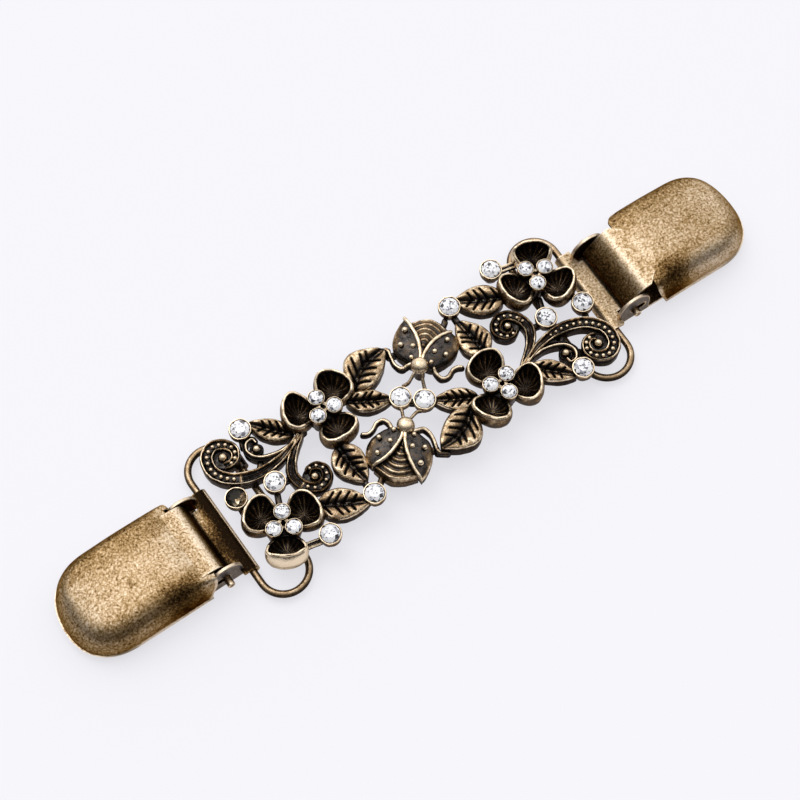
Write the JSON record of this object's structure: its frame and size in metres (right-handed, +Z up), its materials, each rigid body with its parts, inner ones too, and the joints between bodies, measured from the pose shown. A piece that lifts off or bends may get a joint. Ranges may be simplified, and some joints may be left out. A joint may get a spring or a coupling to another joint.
{
  "type": "scarf clip",
  "caption": "Scarf clip: a pierced antique brass casting of flowers, leaves, ladybirds and beaded scrolls with clear stones, and a spring clip on a wire ring at each end.",
  "frame": {"origin": "centre of the whole clip seen from above, on the surface its back lies on", "axes": "+X along the clip from the left clip to the right one, +Y away from the viewer, +Z up out of the ornament's face"},
  "size_m": [0.1394, 0.0325, 0.008],
  "materials": {
    "antique_brass": "cast, blackened in the hollows and polished on the raised edges",
    "antique_wire": "antique brass plated steel wire",
    "antique_plate": "antique brass plated spring steel, mottled",
    "clear_stone": "cut and foiled"
  },
  "bodies": {
    "ornament": {"ornament": "antique_brass", "stone_left_bar": "clear_stone", "stone_left_centre": "clear_stone", "stone_left_edge": "clear_stone", "stone_left_fork": "clear_stone", "stone_left_inner_1": "clear_stone", "stone_left_inner_2": "clear_stone", "stone_left_inner_3": "clear_stone", "stone_left_leaf": "clear_stone", "stone_left_middle": "clear_stone", "stone_left_outer_1": "clear_stone", "stone_left_outer_2": "clear_stone", "stone_left_outer_3": "clear_stone", "stone_right_bar": "clear_stone", "stone_right_centre": "clear_stone", "stone_right_edge": "clear_stone", "stone_right_fork": "clear_stone", "stone_right_inner_1": "clear_stone", "stone_right_inner_2": "clear_stone", "stone_right_inner_3": "clear_stone", "stone_right_leaf": "clear_stone", "stone_right_middle": "clear_stone", "stone_right_outer_1": "clear_stone", "stone_right_outer_2": "clear_stone", "stone_right_outer_3": "clear_stone"},
    "ring_left": {"ring_left": "antique_wire"},
    "clip_left": {"clip_base_left": "antique_plate", "hinge_pin_left": "antique_wire"},
    "cover_left": {"clip_cover_left": "antique_plate"},
    "ring_right": {"ring_right": "antique_wire"},
    "clip_right": {"clip_base_right": "antique_plate", "hinge_pin_right": "antique_wire"},
    "cover_right": {"clip_cover_right": "antique_plate"}
  },
  "joints": [
    {"name": "ring_swing_left", "type": "hinge", "parent": "ornament", "child": "ring_left", "pos_m": [-0.0302, 0, 0.0013], "axis": [0, -1, 0], "range_deg": [0, 90]},
    {"name": "clip_swing_left", "type": "hinge", "parent": "ring_left", "child": "clip_left", "pos_m": [-0.0388, 0, 0.0013], "axis": [0, -1, 0], "range_deg": [-45, 80]},
    {"name": "cover_open_left", "type": "hinge", "parent": "clip_left", "child": "cover_left", "pos_m": [-0.0433, 0, 0.0029], "axis": [0, 1, 0], "range_deg": [0, 90]},
    {"name": "ring_swing_right", "type": "hinge", "parent": "ornament", "child": "ring_right", "pos_m": [0.02919, -0.00061, 0.0013], "axis": [0.0209, 0.9998, 0], "range_deg": [0, 90]},
    {"name": "clip_swing_right", "type": "hinge", "parent": "ring_right", "child": "clip_right", "pos_m": [0.03779, -0.00079, 0.0013], "axis": [0.0209, 0.9998, 0], "range_deg": [-45, 80]},
    {"name": "cover_open_right", "type": "hinge", "parent": "clip_right", "child": "cover_right", "pos_m": [0.04229, -0.00089, 0.0029], "axis": [-0.0209, -0.9998, 0], "range_deg": [0, 90]}
  ]
}
